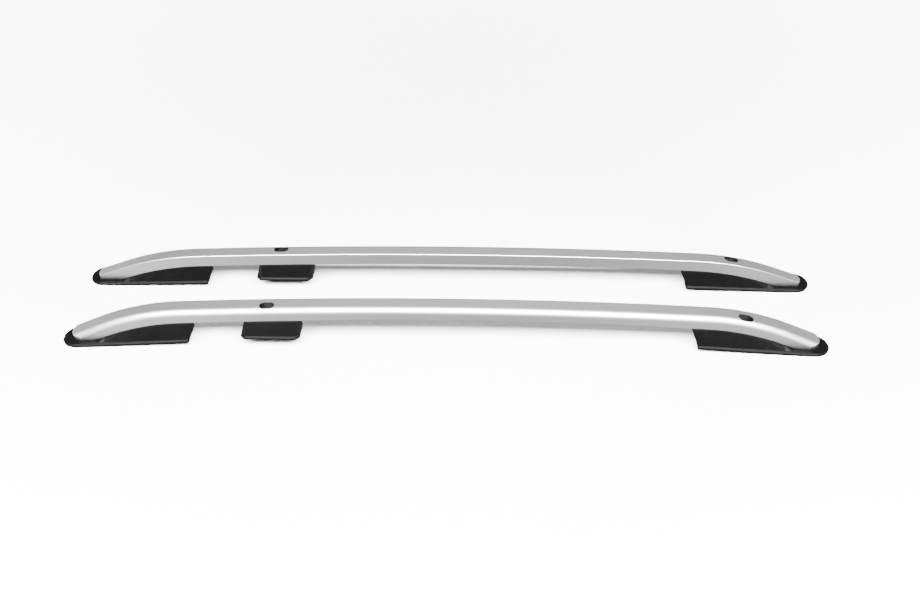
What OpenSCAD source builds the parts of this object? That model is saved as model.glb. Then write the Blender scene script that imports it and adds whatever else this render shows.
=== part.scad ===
/* [Rail tube] */

// Width of the tube section across the rail
tube_w = 47.5; // [40:0.5:56]
// Height of the tube section
tube_h = 39.5; // [32:0.5:46]
// Wall thickness of the tube
tube_wall = 2.2; // [1.8:0.1:4]
// Chamfer of the sharp top edge
edge_chamfer = 0.8; // [0.4:0.1:2]
// Radius of the large top corner on the round side
round_top = 16; // [12:0.5:18]
// Radius of the small bottom corner on the round side
round_low = 4; // [2.5:0.5:6]
// Inward slope of the flat sharp side over the section height
side_draft = 3.5; // [0:0.5:5]
// Height of the tube underside where the end bends start, before the lean
bend_rise = 64.5; // [56:0.5:76]
// Bend radius of the long middle arch, to the underside
arch_radius = 14000; // [13000:100:16000]
// Bend radius of the two end bends, to the underside
bend_radius = 597; // [560:1:650]
// Distance from the foot tip to the centre of the end bend
end_run = 352.5; // [340:0.5:365]
// Angle where the end bend stops and the straight end starts
bend_angle = 23.1; // [21:0.1:25]
// Lean of the bending plane, which bows the rail in plan
lean = 7.2; // [4:0.1:12]

/* [Layout] */

// Distance from tip to tip of the end feet
overall_l = 2014; // [1960:1:2040]
// Distance between the base lines of the two rails as they stand side by side
pair_spacing = 250; // [200:1:320]
// Assembly gap between mating parts
fit_gap = 0.3; // [0.2:0.05:0.5]

/* [End feet] */

// Length of an end foot along its base
foot_l = 343; // [320:1:360]
// Half width of the base flange at the inner end
foot_half_in = 35.5; // [32:0.5:40]
// Radius of the rounded tip of the base flange
foot_tip_r = 39; // [35:0.5:44]
// Shift of the inner end of the base towards the sharp side
inner_shift = 3.5; // [0:0.5:6]
// Shift of the rounded tip of the base towards the round side
tip_shift = 3.5; // [0:0.5:6]
// Height of the base at the inner end over the floor, for the crown of the roof
crown_rise = 11.5; // [0:0.5:16]
// Length of the base that lies flat on the floor, from the tip
tip_flat_l = 77; // [60:1:120]
// Height of the base flange
flange_h = 8; // [6:0.5:12]
// Bevel along the upper edge of the base flange
flange_bevel = 3.5; // [1:0.5:5]
// Black rim between the silver nose and the foot tip
nose_rim = 26; // [18:0.5:32]
// Floor thickness under the nose pocket
pocket_floor = 4; // [3:0.5:5]
// Rake of the inner end of an end foot
rake = 25; // [10:1:32]
// Wall thickness of the black mouldings
shell_wall = 4; // [3:0.5:5]
// Distance from the foot tip to the outer brass insert
insert_from_tip = 173; // [160:1:190]
// Distance between the two brass inserts
insert_pitch = 68; // [50:1:80]

/* [Middle foot] */

// Clear length between the left end foot and the middle foot
mid_gap = 138.5; // [110:0.5:160]
// Length of the middle foot base
mid_l = 157; // [140:1:180]
// Depth of the middle foot base
mid_w = 76; // [66:1:86]
// Corner chamfer of the middle foot base
mid_corner = 12; // [6:0.5:18]
// Clear height of the middle foot base over the floor, for the crown of the roof
mid_clear = 28.5; // [16:0.5:36]
// Lean of the middle foot along the rail
mid_rake = 14; // [0:1:20]

/* [Access holes and fixings] */

// Length of an obround access hole in the tube top
access_l = 40; // [30:1:46]
// Width of an obround access hole in the tube top
access_w = 25; // [18:0.5:28]
// Distance of the hole centres from the tube centre, towards the round side
access_off = 3; // [0:0.5:5]
// Shift of the middle access hole along the rail from the foot centre, outwards
access_shift = 2.5; // [0:0.5:10]
// End access hole as an angle on the end bend
access_end_angle = 11.6; // [10.5:0.1:13]
// Bolt hole diameter in the sleeves
bolt_hole_d = 9; // [8.5:0.5:11]
// Extra diameter of the bolt holes in the tube underside
bolt_play = 1; // [0.5:0.5:3]
// Outer diameter of the steel sleeves
sleeve_d = 16; // [14:0.5:18]
// Shank diameter of the foot screws
screw_d = 5; // [4:0.5:6]
// Head diameter of the foot screws
screw_head_d = 9.5; // [8:0.5:11]
// Head height of the foot screws
screw_head_h = 3.2; // [2.5:0.1:4]
// Outer diameter of the brass inserts
insert_d = 9; // [8:0.5:10]
// Thread bore of the brass inserts
insert_bore_d = 5; // [4:0.5:6]
// Length of the brass inserts
insert_l = 12; // [8:0.5:14]

/* [Hidden] */

silver = [0.78, 0.79, 0.80];
black = [0.07, 0.07, 0.075];
nylon = [0.16, 0.16, 0.17];
steel = [0.62, 0.63, 0.65];
brass = [0.78, 0.62, 0.32];

// Shared derived values
half_w = tube_w / 2;
half_pair = pair_spacing / 2;
half_l = overall_l / 2;
bend_step = arch_radius - bend_radius;
bend_x = half_l - end_run;
arch_angle = asin(bend_x / bend_step);
arch_z = bend_rise - arch_radius * cos(arch_angle);
bend_z = bend_rise - bend_radius * cos(arch_angle);
straight_l = 160;
clear_z = 220;
lap_l = 1;
lap_angle = 0.1;
lap_step = 0.02;

// End foot base: width, side shift and crown along its length
slab = 1;
low_h = flange_h - flange_bevel;
inner_x = half_l - foot_l;
tip_x = half_l - foot_tip_r;
flat_x = half_l - tip_flat_l;
function base_t(x) = (x - inner_x) / (tip_x - inner_x);
function base_y(x) = inner_shift - (inner_shift + tip_shift) * base_t(x);
function base_half(x) = foot_half_in + (foot_tip_r - foot_half_in) * base_t(x);
function base_z(x) = crown_rise * max(0, (flat_x - x) / (flat_x - inner_x));

// Round noses of the tube
nose_r = half_w + 1.5;
nose_x = half_l - nose_rim - nose_r;
nose_y = 1.5;

// Body of an end foot under the tube
thin = 0.1;
wall_lift = 3;
wall_sink = 2;
wall_inset = flange_bevel + 0.5;
wall_edge = 1;
wall_round_y = -half_w + 0.6;
wall_sharp_y = half_w - max(side_draft, 2 * side_draft - wall_lift) - 1.1;
wall_steps = 4;
rake_x = inner_x + slab - (bend_rise - crown_rise - flange_h) * tan(rake);
heel_run = (bend_z + bend_radius * cos(bend_angle) - flange_h) / sin(bend_angle);
heel_x = bend_at(bend_angle) + heel_run * cos(bend_angle);
function bend_at(a) = bend_x + bend_radius * sin(a);
function bend_from(x) = asin((x - bend_x) / bend_radius);
function step_angle(k) = arch_angle + (bend_angle - arch_angle) * k / wall_steps;

// Bolt sleeve and brass inserts of the end feet
end_sleeve_x = bend_at(access_end_angle);
end_sleeve_z = bend_z + bend_radius * cos(access_end_angle);
end_sleeve_y = end_sleeve_z * sin(lean) - access_off;
insert_x = [half_l - insert_from_tip - insert_pitch, half_l - insert_from_tip];
insert_y = 1;

// Foot screws and the plugs they bite into
screw_share = [0.32, 0.69];
screw_a = [for (t = screw_share) bend_from(inner_x + t * (end_sleeve_x - inner_x))];
plug_margin = 1.4;
plug_a = [screw_a[0] - plug_margin, screw_a[1] + plug_margin];
plug_h = 12;
plug_w = 24;
screw_reach = 9;
screw_below = 20;
seat_v = -5;
seat_depth = 14;

// Hollow cells of an end foot
cell_w = 28;
roof_t = 6;
rib_t = 3;
below = 40;
cell_a = [bend_from(inner_x + shell_wall + 6), bend_angle - 2];
cell_steps = 6;
rib_x = [bend_at((screw_a[0] + screw_a[1]) / 2), (insert_x[0] + insert_x[1]) / 2];

// Middle foot
mid_x = -inner_x + mid_gap + mid_l / 2;
mid_a = asin(mid_x / arch_radius);
mid_under = arch_z + arch_radius * cos(mid_a);
mid_top_z = mid_under * cos(lean);
mid_top_y = mid_under * sin(lean);
mid_base_y = mid_clear * tan(lean);
mid_shift = (mid_top_z - mid_clear) * tan(mid_rake);
mid_step = 1;
mid_lift = 2.2;
mid_sharp = half_w - max(side_draft, 2 * side_draft - mid_lift) - 0.1;
mid_round = half_w - 0.85;
mid_top_corner = 8;
mid_roof_t = 8;
mid_skin = 11;
mid_rib_x = 32;
mid_screw_a = asin(50 / arch_radius);
mid_plug_a = asin(66 / arch_radius);
mid_plug_h = 4;
mid_seat_a = asin((mid_l / 2 + 20) / arch_radius);
access_mid_x = mid_x - access_shift;
access_mid_a = asin(access_mid_x / arch_radius);

function arc_points(u, v, r, a0, a1, n) =
  [for (i = [0:n]) [v + r * sin(a0 + (a1 - a0) * i / n), -u - r * cos(a0 + (a1 - a0) * i / n)]];

// Closed outline of the tube section: flat top, one sharp side, one round side
module section(g) {
  rotate([0, 0, lean])
    polygon(concat(
      [
        [-g, -(half_w - 2 * side_draft + g * 0.4)],
        [side_draft - g * 0.5, -(half_w - side_draft + g)],
        [tube_h - edge_chamfer + g * 0.9, -(half_w + g)],
        [tube_h + g, -(half_w - edge_chamfer + g * 0.9)]
      ],
      arc_points(-half_w + round_top, tube_h - round_top, round_top + g, 90, 180, 10),
      arc_points(-half_w + round_low, round_low, round_low + g, 180, 270, 4)
    ));
}

// Long middle arch of the rail
module arch_sweep(g) {
  translate([0, 0, arch_z])
    rotate([90, 0, 0])
      rotate([0, 0, 90 - arch_angle])
        rotate_extrude(angle = 2 * arch_angle, $fn = 720)
          translate([arch_radius, 0])
            section(g);
}

// Short part of the arch over the middle foot
module arch_part(g, half_a) {
  translate([0, 0, arch_z])
    rotate([90, 0, 0])
      rotate([0, 0, 90 - mid_a - half_a])
        rotate_extrude(angle = 2 * half_a, $fn = 720)
          translate([arch_radius, 0])
            section(g);
}

// Right end bend followed by the straight end, lapped into what comes before
module end_sweep(g, step) {
  translate([bend_x, 0, bend_z])
    rotate([90, 0, 0])
      rotate([0, 0, 90 - bend_angle])
        rotate_extrude(angle = bend_angle - arch_angle + lap_angle, $fn = 360)
          translate([bend_radius, 0])
            section(g + step);
  translate([bend_x, 0, bend_z])
    rotate([0, bend_angle, 0])
      translate([-lap_l, 0, bend_radius])
        rotate([0, 90, 0])
          linear_extrude(height = straight_l)
            rotate([0, 0, 180])
              section(g + 2 * step);
}

// Local frame on the right end bend, z up from the tube underside
module on_bend(a) {
  translate([bend_x, 0, bend_z])
    rotate([0, a, 0])
      translate([0, 0, bend_radius])
        rotate([lean, 0, 0])
          children();
}

// Local frame on the middle arch, z up from the tube underside
module on_arch(a) {
  translate([0, 0, arch_z])
    rotate([0, a, 0])
      translate([0, 0, arch_radius])
        rotate([lean, 0, 0])
          children();
}

module leaned() {
  rotate([-lean, 0, 0])
    children();
}

// Plan trimming of the bar: flat cut on the pocket floor, round noses
module trim(g, z0) {
  translate([0, 0, z0])
    linear_extrude(height = clear_z)
      union() {
        square([2 * nose_x, 4 * tube_w], center = true);
        translate([nose_x, nose_y])
          circle(r = nose_r + g, $fn = 64);
        translate([-nose_x, nose_y])
          circle(r = nose_r + g, $fn = 64);
      }
}

// Outside of one tube end, grown by a gap to cut its seat
module end_outside(g) {
  intersection() {
    leaned()
      union() {
        arch_sweep(g);
        end_sweep(g, -lap_step);
      }
    trim(g, pocket_floor);
  }
}

module obround_cut(l, w, h) {
  linear_extrude(height = h)
    union() {
      square([l - w, w], center = true);
      translate([(l - w) / 2, 0])
        circle(d = w, $fn = 48);
      translate([-(l - w) / 2, 0])
        circle(d = w, $fn = 48);
    }
}

// Access hole in the top wall of the tube
module access_cut() {
  translate([0, -access_off, tube_h / 2])
    obround_cut(access_l, access_w, tube_h);
}

// Hollow end of the tube with its closed round nose
module end_tube() {
  difference() {
    intersection() {
      leaned()
        end_sweep(0, -lap_step);
      trim(0, pocket_floor);
    }
    intersection() {
      leaned()
        end_sweep(-tube_wall, lap_step);
      trim(-tube_wall, -1);
    }
  }
}

module screw_hole(d) {
  translate([0, 0, -screw_below])
    cylinder(d = d, h = screw_below + screw_reach + 1, $fn = 32);
}

module tube() {
  difference() {
    union() {
      leaned()
        difference() {
          arch_sweep(0);
          arch_sweep(-tube_wall);
        }
      end_tube();
      mirror([1, 0, 0])
        end_tube();
    }
    leaned() {
      on_arch(access_mid_a)
        access_cut();
      on_bend(access_end_angle)
        access_cut();
      for (a = screw_a) {
        on_bend(a)
          screw_hole(screw_d + 2 * fit_gap);
        mirror([1, 0, 0])
          on_bend(a)
            screw_hole(screw_d + 2 * fit_gap);
      }
      for (s = [-1, 1])
        on_arch(mid_a + s * mid_screw_a)
          screw_hole(screw_d + 2 * fit_gap);
    }
    sleeve_at_middle(bolt_hole_d + bolt_play, mid_top_z + tube_h / 2);
    sleeve_at_end(bolt_hole_d + bolt_play, end_sleeve_z + tube_h / 2);
  }
}

// Cross slab of the base flange, with its bevel
module flange_slab(x, step) {
  translate([x, base_y(x) - base_half(x), base_z(x)])
    cube([slab, 2 * base_half(x), low_h]);
  translate([x + step, base_y(x) - base_half(x) + flange_bevel, base_z(x)])
    cube([slab, 2 * (base_half(x) - flange_bevel), flange_h]);
}

// Base flange of an end foot: flat rounded tip, then the length that follows the crown
module foot_flange() {
  hull() {
    translate([tip_x, -tip_shift, 0])
      cylinder(r = foot_tip_r, h = low_h, $fn = 72);
    translate([tip_x, -tip_shift, 0])
      cylinder(r = foot_tip_r - flange_bevel, h = flange_h, $fn = 72);
    flange_slab(flat_x, 0);
  }
  hull() {
    flange_slab(flat_x, 0);
    flange_slab(inner_x, flange_bevel);
  }
}

// Thin bars just inside both lower edges of the tube
module wall_top() {
  translate([0, wall_round_y, wall_lift])
    cube([thin, wall_edge, thin]);
  translate([0, wall_sharp_y, wall_lift])
    cube([thin, wall_edge, thin]);
}

// Thin bar across the top of the flange
module wall_low(x) {
  translate([x, base_y(x) - base_half(x) + wall_inset, base_z(x) + flange_h - wall_sink])
    cube([thin, 2 * (base_half(x) - wall_inset), thin]);
}

// Slice of the foot body from the flange up to the tube
module wall_slice(k) {
  leaned()
    on_bend(step_angle(k))
      wall_top();
  wall_low(bend_at(step_angle(k)));
}

// Raked inner end of the foot body
module rake_slice() {
  leaned()
    on_arch(asin(rake_x / arch_radius))
      wall_top();
  wall_low(inner_x + slab);
}

// Outer end of the foot body, where the tube comes down to the flange
module heel_slice() {
  leaned()
    on_bend(bend_angle)
      translate([heel_run, 0, 0])
        wall_top();
  wall_low(heel_x);
}

module foot_body() {
  hull() {
    rake_slice();
    wall_slice(1);
  }
  for (k = [1:wall_steps - 1])
    hull() {
      wall_slice(k);
      wall_slice(k + 1);
    }
  hull() {
    wall_slice(wall_steps);
    heel_slice();
  }
}

// Hollow cells between the ribs, open to the underside
module foot_cells() {
  cell_r = bend_radius - roof_t;
  difference() {
    leaned()
      rotate([90, 0, 0])
        translate([0, 0, -cell_w / 2])
          linear_extrude(height = cell_w)
            polygon(concat(
              [[bend_x + cell_r * sin(cell_a[0]), -below]],
              [for (i = [0:cell_steps])
                let (a = cell_a[0] + (cell_a[1] - cell_a[0]) * i / cell_steps)
                [bend_x + cell_r * sin(a), bend_z + cell_r * cos(a)]],
              [[bend_x + cell_r * sin(cell_a[1]), -below]]
            ));
    for (x = rib_x)
      translate([x, -tube_w, -below])
        cube([rib_t, 3 * tube_w, clear_z + below]);
  }
}

// End foot, with a post for the bolt sleeve or posts for the brass inserts
module end_foot(sleeve) {
  difference() {
    union() {
      foot_flange();
      foot_body();
    }
    end_outside(fit_gap);
    difference() {
      foot_cells();
      if (sleeve)
        sleeve_at_end(sleeve_d + 2 * shell_wall, clear_z);
      if (!sleeve)
        insert_posts(insert_d + 2 * shell_wall, -below, clear_z);
    }
    leaned()
      for (a = screw_a)
        on_bend(a)
          screw_seat();
    if (sleeve)
      translate([0, 0, -1])
        sleeve_at_end(sleeve_d, clear_z);
    if (!sleeve)
      insert_posts(insert_d, -below, below + fit_gap + insert_l);
  }
}

// Vertical post under the end access hole
module sleeve_at_end(d, h) {
  translate([end_sleeve_x, end_sleeve_y, 0])
    cylinder(d = d, h = h, $fn = 48);
}

// Vertical posts over the brass inserts, from a height over the base
module insert_posts(d, z0, h) {
  for (x = insert_x)
    translate([x, insert_y, base_z(x) + z0])
      cylinder(d = d, h = h, $fn = 48);
}

// Clearance hole and flat seat for a screw from below
module screw_seat() {
  screw_hole(screw_d + 2 * fit_gap);
  translate([0, 0, seat_v - seat_depth])
    cylinder(d = screw_head_d + 4 * fit_gap, h = seat_depth, $fn = 32);
}

module foot_screw() {
  translate([0, 0, seat_v - screw_head_h])
    cylinder(d = screw_head_d, h = screw_head_h, $fn = 32);
  translate([0, 0, seat_v])
    cylinder(d = screw_d, h = screw_reach - seat_v, $fn = 32);
}

module end_screws() {
  leaned()
    for (a = screw_a)
      on_bend(a)
        foot_screw();
}

// Nylon plug lying on the inner floor of the tube
module end_plug() {
  difference() {
    leaned()
      translate([bend_x, 0, bend_z])
        rotate([90, 0, 0])
          rotate([0, 0, 90 - plug_a[1]])
            rotate_extrude(angle = plug_a[1] - plug_a[0], $fn = 360)
              translate([bend_radius, 0])
                rotate([0, 0, lean])
                  translate([tube_wall, -plug_w / 2])
                    square([plug_h, plug_w]);
    leaned()
      for (a = screw_a)
        on_bend(a)
          screw_hole(screw_d);
  }
}

module middle_plug() {
  difference() {
    leaned()
      translate([0, 0, arch_z])
        rotate([90, 0, 0])
          rotate([0, 0, 90 - mid_a - mid_plug_a])
            rotate_extrude(angle = 2 * mid_plug_a, $fn = 720)
              translate([arch_radius, 0])
                rotate([0, 0, lean])
                  translate([tube_wall, -plug_w / 2])
                    square([mid_plug_h, plug_w]);
    leaned() {
      for (s = [-1, 1])
        on_arch(mid_a + s * mid_screw_a)
          screw_hole(screw_d);
      on_arch(access_mid_a)
        translate([0, -access_off, -1])
          obround_cut(access_l, access_w - 4, tube_h);
    }
  }
}

module chamfered_plate(l, w, c, h) {
  linear_extrude(height = h)
    polygon([
      [-l / 2 + c, -w / 2], [l / 2 - c, -w / 2], [l / 2, -w / 2 + c], [l / 2, w / 2 - c],
      [l / 2 - c, w / 2], [-l / 2 + c, w / 2], [-l / 2, w / 2 - c], [-l / 2, -w / 2 + c]
    ]);
}

// Middle foot: bevelled base and a body that leans along the rail
module middle_foot() {
  difference() {
    union() {
      hull() {
        translate([mid_x, mid_base_y, mid_clear])
          chamfered_plate(mid_l, mid_w, mid_corner, low_h);
        translate([mid_x, mid_base_y, mid_clear])
          chamfered_plate(mid_l - 2 * mid_step, mid_w - 2 * flange_bevel, mid_corner, flange_h);
      }
      hull() {
        translate([mid_x, mid_base_y, mid_clear + flange_h - mid_step])
          chamfered_plate(mid_l - 3 * mid_step, mid_w - 2 * wall_inset, mid_corner, mid_step);
        translate([mid_x + mid_shift, mid_top_y + (mid_sharp - mid_round) / 2, mid_top_z + mid_lift - mid_step])
          rotate([0, mid_a, 0])
            chamfered_plate(mid_l - 2 * mid_step, mid_sharp + mid_round, mid_top_corner, mid_step);
      }
    }
    leaned()
      arch_part(fit_gap, mid_seat_a);
    middle_cells();
    translate([0, 0, -1])
      sleeve_at_middle(sleeve_d, clear_z);
    leaned()
      for (s = [-1, 1])
        on_arch(mid_a + s * mid_screw_a)
          screw_seat();
  }
}

// Hollow inside of the middle foot with its two ribs and the post of the sleeve
module middle_cells() {
  difference() {
    hull() {
      translate([mid_x, mid_base_y, mid_clear - 1])
        chamfered_plate(mid_l - 2 * mid_skin, mid_w - 2 * mid_skin, shell_wall, mid_step);
      translate([mid_x + mid_shift, mid_top_y, mid_top_z - mid_roof_t])
        chamfered_plate(mid_l - 2 * mid_skin - shell_wall, tube_w - 4 * shell_wall, shell_wall, mid_step);
    }
    sleeve_at_middle(sleeve_d + 2 * shell_wall, clear_z);
    for (s = [-1, 1])
      translate([mid_x + s * mid_rib_x, -tube_w, 0])
        cube([rib_t, 3 * tube_w, clear_z]);
  }
}

module sleeve_at_middle(d, h) {
  translate([access_mid_x, mid_top_y - access_off, 0])
    cylinder(d = d, h = h, $fn = 48);
}

module middle_screws() {
  leaned()
    for (s = [-1, 1])
      on_arch(mid_a + s * mid_screw_a)
        foot_screw();
}

module middle_sleeve() {
  difference() {
    translate([access_mid_x, mid_top_y - access_off, mid_clear])
      cylinder(d = sleeve_d, h = clear_z / 2, $fn = 48);
    sleeve_at_middle(bolt_hole_d, clear_z);
    leaned()
      arch_seat();
  }
}

// Everything above the tube underside over the middle foot
module arch_seat() {
  translate([0, 0, arch_z])
    rotate([90, 0, 0])
      rotate([0, 0, 90 - mid_a - mid_plug_a])
        rotate_extrude(angle = 2 * mid_plug_a, $fn = 720)
          translate([arch_radius, 0])
            rotate([0, 0, lean])
              translate([0, -tube_w])
                square([clear_z, 2 * tube_w]);
}

module end_sleeve() {
  difference() {
    translate([0, 0, base_z(end_sleeve_x) + fit_gap])
      sleeve_at_end(sleeve_d, clear_z / 2);
    translate([0, 0, -1])
      sleeve_at_end(bolt_hole_d, clear_z);
    leaned()
      bend_seat();
  }
}

// Everything above the tube underside over an end foot
module bend_seat() {
  translate([bend_x, 0, bend_z])
    rotate([90, 0, 0])
      rotate([0, 0, 90 - bend_angle])
        rotate_extrude(angle = bend_angle - arch_angle, $fn = 360)
          translate([bend_radius, 0])
            rotate([0, 0, lean])
              translate([0, -tube_w])
                square([clear_z, 2 * tube_w]);
}

module left_inserts() {
  mirror([1, 0, 0])
    difference() {
      insert_posts(insert_d, fit_gap, insert_l);
      insert_posts(insert_bore_d, -1, insert_l + 2);
    }
}

module near() {
  translate([0, -half_pair, 0])
    children();
}

module far() {
  mirror([0, 1, 0])
    near()
      children();
}

module near_tube() color(silver) near() tube();
module near_left_foot() color(black) near() mirror([1, 0, 0]) end_foot(false);
module near_right_foot() color(black) near() end_foot(true);
module near_middle_foot() color(black) near() middle_foot();
module near_left_plug() color(nylon) near() mirror([1, 0, 0]) end_plug();
module near_right_plug() color(nylon) near() end_plug();
module near_middle_plug() color(nylon) near() middle_plug();
module near_left_screws() color(steel) near() mirror([1, 0, 0]) end_screws();
module near_right_screws() color(steel) near() end_screws();
module near_middle_screws() color(steel) near() middle_screws();
module near_right_sleeve() color(steel) near() end_sleeve();
module near_middle_sleeve() color(steel) near() middle_sleeve();
module near_left_inserts() color(brass) near() left_inserts();

module far_tube() color(silver) far() tube();
module far_left_foot() color(black) far() mirror([1, 0, 0]) end_foot(false);
module far_right_foot() color(black) far() end_foot(true);
module far_middle_foot() color(black) far() middle_foot();
module far_left_plug() color(nylon) far() mirror([1, 0, 0]) end_plug();
module far_right_plug() color(nylon) far() end_plug();
module far_middle_plug() color(nylon) far() middle_plug();
module far_left_screws() color(steel) far() mirror([1, 0, 0]) end_screws();
module far_right_screws() color(steel) far() end_screws();
module far_middle_screws() color(steel) far() middle_screws();
module far_right_sleeve() color(steel) far() end_sleeve();
module far_middle_sleeve() color(steel) far() middle_sleeve();
module far_left_inserts() color(brass) far() left_inserts();

near_tube();
near_left_foot();
near_right_foot();
near_middle_foot();
near_left_plug();
near_right_plug();
near_middle_plug();
near_left_screws();
near_right_screws();
near_middle_screws();
near_right_sleeve();
near_middle_sleeve();
near_left_inserts();
far_tube();
far_left_foot();
far_right_foot();
far_middle_foot();
far_left_plug();
far_right_plug();
far_middle_plug();
far_left_screws();
far_right_screws();
far_middle_screws();
far_right_sleeve();
far_middle_sleeve();
far_left_inserts();
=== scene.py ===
import math

import bpy
from mathutils import Matrix, Vector


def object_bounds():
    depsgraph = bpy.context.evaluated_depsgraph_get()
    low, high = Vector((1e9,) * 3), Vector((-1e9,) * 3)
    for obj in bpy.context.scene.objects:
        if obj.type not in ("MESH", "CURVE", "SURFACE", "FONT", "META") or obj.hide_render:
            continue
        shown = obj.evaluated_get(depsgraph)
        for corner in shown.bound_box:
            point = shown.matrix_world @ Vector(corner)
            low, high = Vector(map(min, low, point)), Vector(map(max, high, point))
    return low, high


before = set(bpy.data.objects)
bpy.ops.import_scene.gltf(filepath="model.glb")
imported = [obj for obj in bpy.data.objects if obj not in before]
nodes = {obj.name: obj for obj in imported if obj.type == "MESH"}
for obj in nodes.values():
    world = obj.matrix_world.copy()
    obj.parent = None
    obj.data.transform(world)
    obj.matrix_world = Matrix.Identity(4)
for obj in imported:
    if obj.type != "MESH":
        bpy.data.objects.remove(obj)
cad_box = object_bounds()

# Lengths are in metres and angles in degrees, unless a name says otherwise.

# Camera, fitted to the photo's frame
FRAME_W_PX, FOCAL_PX = 920.0, 1068.44
SENSOR_W_MM = 36.0
PITCH, YAW, ROLL = 40.824, -2.642, -1.086
CAM_AT = (0.1456, -2.1934, 1.9103)
CLIP_NEAR, CLIP_FAR = 0.05, 60.0

# Floor: half its side, its drop under the feet, and its glow, which begins GLOW_FROM away from
# the rails' middle and has its full strength from GLOW_FULL_AT on
FLOOR_HALF, FLOOR_DROP = 60.0, 0.0002
GLOW_FROM, GLOW_FULL_AT = 0.8, 3.5
GLOW_STRENGTH = 8.0

# Round backdrop: where it leaves the floor, the radius of its wall, and its top
COVE_FROM, WALL_R, WALL_TOP = 32.0, 40.0, 16.0
COVE_STEPS, WALL_TURNS = 12, 96

# Brightness of the studio round the rails: low in front, low at the sides, and high all round.
# The side's part grows with the square of the direction's X, and low turns to high where the
# direction's Z passes from -HORIZON to HORIZON.
WORLD_LOW, WORLD_SIDE, WORLD_HIGH = 0.02, 3.2, 0.35
SIDE_FROM, SIDE_FULL = 0.02, 0.15
HORIZON = 0.1

# Painted shade in the tube's hollows, darkening its colour where little round a point is open: how
# far round a point is looked, the open share of the sky at which the painted shade is full and at
# which there is none, and what is left of the colour in full painted shade
HOLLOW_REACH = 0.04
HOLLOW_DARK_AT, HOLLOW_OPEN_AT = 0.6, 0.85
HOLLOW_LEFT = 0.01

# Width over which the moulding's edges are shaded round
MOULDING_EDGE_R = 0.004

# Rays for each shaded point that hollows and edges are worked out with
SHADE_SAMPLES = 6

WHITE = (1.0, 1.0, 1.0)
ORIGIN = (0.0, 0.0, 0.0)


def add(obj):
    bpy.context.scene.collection.objects.link(obj)


def make_camera():
    p, y, r = (math.radians(a) for a in (PITCH, YAW, ROLL))
    look = Vector((math.sin(y) * math.cos(p), math.cos(y) * math.cos(p), -math.sin(p)))
    right = Vector((math.cos(y), -math.sin(y), 0.0))
    up = right.cross(look)
    side = right * math.cos(r) + up * math.sin(r)
    over = up * math.cos(r) - right * math.sin(r)
    data = bpy.data.cameras.new("camera")
    data.sensor_width = SENSOR_W_MM
    data.lens = SENSOR_W_MM * FOCAL_PX / FRAME_W_PX
    data.clip_start, data.clip_end = CLIP_NEAR, CLIP_FAR
    cam = bpy.data.objects.new("camera", data)
    turn = Matrix((side, over, -look)).transposed().to_4x4()
    cam.matrix_world = Matrix.Translation(Vector(CAM_AT)) @ turn
    add(cam)
    bpy.context.scene.camera = cam


def new_material(name):
    """An empty material, with its node tree, its shader and the object's coordinates."""
    m = bpy.data.materials.new(name)
    m.use_nodes = True
    tree = m.node_tree
    tree.nodes.clear()
    out = tree.nodes.new("ShaderNodeOutputMaterial")
    shader = tree.nodes.new("ShaderNodeBsdfPrincipled")
    tree.links.new(shader.outputs["BSDF"], out.inputs["Surface"])
    at = tree.nodes.new("ShaderNodeTexCoord").outputs["Object"]
    return m, tree, shader, at


def noise(tree, coords, scale, detail=3.0, rough=0.5, stretch=(1.0, 1.0, 1.0)):
    place = tree.nodes.new("ShaderNodeMapping")
    place.inputs["Scale"].default_value = stretch
    tree.links.new(coords, place.inputs["Vector"])
    n = tree.nodes.new("ShaderNodeTexNoise")
    n.inputs["Scale"].default_value = scale
    n.inputs["Detail"].default_value = detail
    n.inputs["Roughness"].default_value = rough
    tree.links.new(place.outputs["Vector"], n.inputs["Vector"])
    return n.outputs["Fac"]


def ramp(tree, value, low, high, start=0.0, end=1.0):
    """Low up to start, high from end on, and an even slope between them."""
    r = tree.nodes.new("ShaderNodeMapRange")
    r.inputs["From Min"].default_value = start
    r.inputs["From Max"].default_value = end
    r.inputs["To Min"].default_value = low
    r.inputs["To Max"].default_value = high
    tree.links.new(value, r.inputs["Value"])
    return r.outputs["Result"]


def mix_colour(tree, value, low, high):
    m = tree.nodes.new("ShaderNodeMix")
    m.data_type = "RGBA"
    m.inputs["A"].default_value = (*low, 1.0)
    m.inputs["B"].default_value = (*high, 1.0)
    tree.links.new(value, m.inputs["Factor"])
    return m.outputs["Result"]


def times(tree, one, other):
    """The product of two colours."""
    m = tree.nodes.new("ShaderNodeMix")
    m.data_type = "RGBA"
    m.blend_type = "MULTIPLY"
    m.inputs["Factor"].default_value = 1.0
    tree.links.new(one, m.inputs["A"])
    tree.links.new(other, m.inputs["B"])
    return m.outputs["Result"]


def painted_hollow_shade(tree):
    """A grey for painted shade: white in the open and nearly black where a hollow closes round."""
    hollow = tree.nodes.new("ShaderNodeAmbientOcclusion")
    hollow.samples = SHADE_SAMPLES
    hollow.inputs["Distance"].default_value = HOLLOW_REACH
    is_open = ramp(tree, hollow.outputs["AO"], 0.0, 1.0, HOLLOW_DARK_AT, HOLLOW_OPEN_AT)
    return mix_colour(tree, is_open, (HOLLOW_LEFT,) * 3, WHITE)


def bump(tree, height, distance, strength, edge_r=0.0):
    """A bump, on edges that are shaded round where edge_r is given."""
    b = tree.nodes.new("ShaderNodeBump")
    b.inputs["Distance"].default_value = distance
    b.inputs["Strength"].default_value = strength
    if edge_r:
        soft = tree.nodes.new("ShaderNodeBevel")
        soft.samples = SHADE_SAMPLES
        soft.inputs["Radius"].default_value = edge_r
        tree.links.new(soft.outputs["Normal"], b.inputs["Normal"])
    tree.links.new(height, b.inputs["Height"])
    return b.outputs["Normal"]


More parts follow.
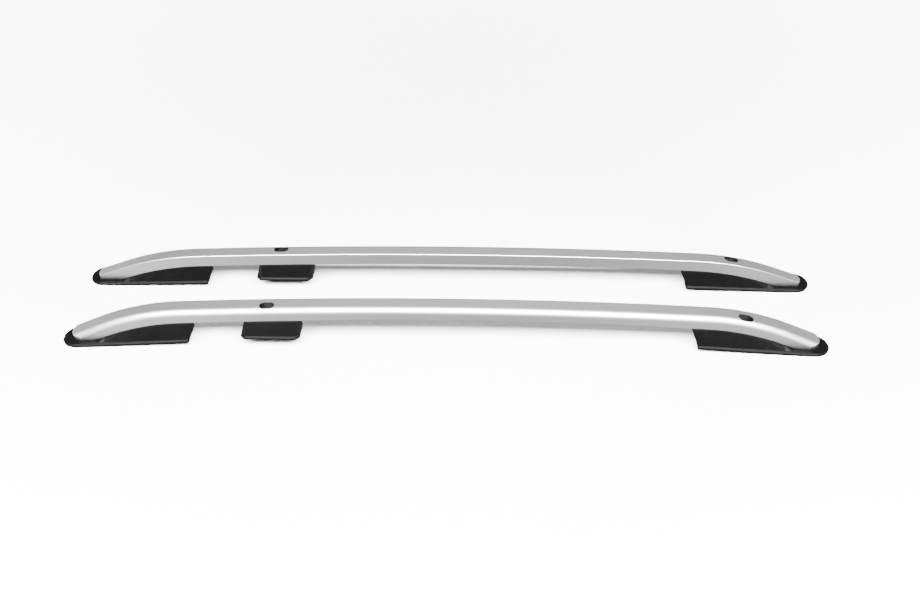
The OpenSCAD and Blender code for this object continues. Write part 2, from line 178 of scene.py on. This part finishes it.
def silver_material():
    m, tree, s, at = new_material("satin_silver")
    cloud = noise(tree, at, scale=6.0, detail=2.0, rough=0.5, stretch=(0.4, 1.0, 1.0))
    streak = noise(tree, at, scale=900.0, detail=2.0, rough=0.6, stretch=(0.01, 1.0, 1.0))
    grain = noise(tree, at, scale=2600.0, detail=2.0, rough=0.6)
    colour = mix_colour(tree, cloud, (0.44, 0.442, 0.441), (0.48, 0.482, 0.481))
    # The silver's base colour is multiplied by painted shade, nearly black inside the tube's
    # hollows.
    tree.links.new(times(tree, colour, painted_hollow_shade(tree)), s.inputs["Base Color"])
    s.inputs["Metallic"].default_value = 1.0
    tree.links.new(ramp(tree, streak, 0.37, 0.43), s.inputs["Roughness"])
    tree.links.new(bump(tree, grain, distance=0.00004, strength=0.35), s.inputs["Normal"])
    return m


def black_material():
    m, tree, s, at = new_material("black_moulding")
    cloud = noise(tree, at, scale=14.0, detail=3.0, rough=0.55)
    grain = noise(tree, at, scale=1500.0, detail=2.0, rough=0.6)
    colour = mix_colour(tree, cloud, (0.0009, 0.0009, 0.0010), (0.0014, 0.0014, 0.0015))
    relief = bump(tree, grain, distance=0.00008, strength=0.5, edge_r=MOULDING_EDGE_R)
    tree.links.new(colour, s.inputs["Base Color"])
    tree.links.new(ramp(tree, cloud, 0.40, 0.50), s.inputs["Roughness"])
    s.inputs["Specular IOR Level"].default_value = 0.045
    tree.links.new(relief, s.inputs["Normal"])
    return m


def nylon_material():
    m, tree, s, at = new_material("grey_nylon")
    cloud = noise(tree, at, scale=60.0)
    colour = mix_colour(tree, cloud, (0.002, 0.002, 0.0022), (0.003, 0.003, 0.0032))
    tree.links.new(colour, s.inputs["Base Color"])
    tree.links.new(ramp(tree, cloud, 0.45, 0.6), s.inputs["Roughness"])
    return m


def metal_material(name, dark, light, smooth, rough):
    m, tree, s, at = new_material(name)
    cloud = noise(tree, at, scale=220.0, detail=3.0, rough=0.6)
    tree.links.new(mix_colour(tree, cloud, dark, light), s.inputs["Base Color"])
    s.inputs["Metallic"].default_value = 1.0
    tree.links.new(ramp(tree, cloud, smooth, rough), s.inputs["Roughness"])
    tree.links.new(bump(tree, cloud, distance=0.00003, strength=0.3), s.inputs["Normal"])
    return m


def floor_material():
    m, tree, s, at = new_material("studio_floor")
    cloud = noise(tree, at, scale=2.0)
    colour = mix_colour(tree, cloud, (0.88, 0.88, 0.88), (0.90, 0.90, 0.90))
    tree.links.new(colour, s.inputs["Base Color"])
    s.inputs["Roughness"].default_value = 0.9
    s.inputs["Specular IOR Level"].default_value = 0.1
    away = tree.nodes.new("ShaderNodeVectorMath")
    away.operation = "LENGTH"
    tree.links.new(at, away.inputs[0])
    glow = ramp(tree, away.outputs["Value"], 0.0, GLOW_STRENGTH, GLOW_FROM, GLOW_FULL_AT)
    tree.links.new(glow, s.inputs["Emission Strength"])
    s.inputs["Emission Color"].default_value = (*WHITE, 1.0)
    return m


def paint(obj, material):
    obj.data.materials.clear()
    obj.data.materials.append(material)


def make_backdrop(material, foot_z):
    """A wall all round with a cove at its foot, which only the camera sees."""
    cove = WALL_R - COVE_FROM
    profile = []
    for i in range(COVE_STEPS + 1):
        a = math.radians(90.0 * i / COVE_STEPS)
        profile.append((COVE_FROM + cove * math.sin(a), foot_z + cove * (1.0 - math.cos(a))))
    profile.append((WALL_R, WALL_TOP))
    rows = len(profile)
    points, faces = [], []
    for t in range(WALL_TURNS):
        a = 2.0 * math.pi * t / WALL_TURNS
        points += [(r * math.cos(a), r * math.sin(a), z) for r, z in profile]
        here, there = t * rows, (t + 1) % WALL_TURNS * rows
        for i in range(rows - 1):
            faces.append((here + i, here + i + 1, there + i + 1, there + i))
    mesh = bpy.data.meshes.new("backdrop")
    mesh.from_pydata(points, [], faces)
    wall = bpy.data.objects.new("backdrop", mesh)
    wall.visible_glossy = wall.visible_diffuse = wall.visible_shadow = False
    add(wall)
    paint(wall, material)


def make_floor():
    """A glowing floor that the rails' metal doesn't mirror, and the backdrop round it."""
    h, z = FLOOR_HALF, cad_box[0].z - FLOOR_DROP
    mesh = bpy.data.meshes.new("floor")
    mesh.from_pydata([(-h, -h, z), (h, -h, z), (h, h, z), (-h, h, z)], [], [(0, 1, 2, 3)])
    floor = bpy.data.objects.new("floor", mesh)
    floor.visible_glossy = False
    add(floor)
    material = floor_material()
    paint(floor, material)
    make_backdrop(material, z)


def make_world():
    """Grey above the horizon, and below it dark in front and behind and bright at the sides."""
    world = bpy.data.worlds.new("studio")
    world.use_nodes = True
    tree = world.node_tree
    at = tree.nodes.new("ShaderNodeTexCoord").outputs["Generated"]
    split = tree.nodes.new("ShaderNodeSeparateXYZ")
    tree.links.new(at, split.inputs["Vector"])
    aside = tree.nodes.new("ShaderNodeMath")
    aside.operation = "MULTIPLY"
    tree.links.new(split.outputs["X"], aside.inputs[0])
    tree.links.new(split.outputs["X"], aside.inputs[1])
    low = ramp(tree, aside.outputs["Value"], WORLD_LOW, WORLD_SIDE, SIDE_FROM, SIDE_FULL)
    rise = ramp(tree, split.outputs["Z"], 0.0, 1.0, -HORIZON, HORIZON)
    level = tree.nodes.new("ShaderNodeMix")
    tree.links.new(rise, level.inputs["Factor"])
    tree.links.new(low, level.inputs["A"])
    level.inputs["B"].default_value = WORLD_HIGH
    sky = tree.nodes["Background"]
    tree.links.new(level.outputs["Result"], sky.inputs["Strength"])
    sky.inputs["Color"].default_value = (*WHITE, 1.0)
    bpy.context.scene.world = world


def area_light(name, at, aim, long, wide, watts):
    data = bpy.data.lights.new(name, "AREA")
    data.shape = "RECTANGLE"
    data.energy = watts
    data.size, data.size_y = long, wide
    lamp = bpy.data.objects.new(name, data)
    lamp.location = at
    lamp.rotation_euler = (Vector(aim) - Vector(at)).to_track_quat("-Z", "Y").to_euler()
    add(lamp)
    return lamp


def make_light():
    """A long strip overhead, a front light for the tubes alone, and a weak light behind."""
    area_light("strip", (0.0, -1.75, 2.75), ORIGIN, long=5.2, wide=1.2, watts=2300.0)
    front = area_light("front", (0.0, -3.0, 1.5), (0.0, 0.0, 0.1), long=5.2, wide=1.0, watts=800.0)
    area_light("back", (0.0, 2.6, 2.5), ORIGIN, long=3.0, wide=1.8, watts=9.0)
    tubes = bpy.data.collections.new("lit_by_front")
    for name, obj in nodes.items():
        if name.endswith("_tube"):
            tubes.objects.link(obj)
    front.light_linking.receiver_collection = tubes


def paint_nodes():
    """Each node is painted by the last word of its name."""
    silver, black, nylon = silver_material(), black_material(), nylon_material()
    steel = metal_material("zinc_steel", (0.46, 0.47, 0.48), (0.60, 0.61, 0.62), 0.28, 0.42)
    brass = metal_material("brass", (0.62, 0.44, 0.18), (0.74, 0.55, 0.26), 0.28, 0.40)
    finish = {
        "tube": silver,
        "foot": black,
        "plug": nylon,
        "screws": steel,
        "sleeve": steel,
        "inserts": brass,
    }
    for name, obj in nodes.items():
        paint(obj, finish[name.split("_")[-1]])


paint_nodes()
make_camera()
make_floor()
make_world()
make_light()
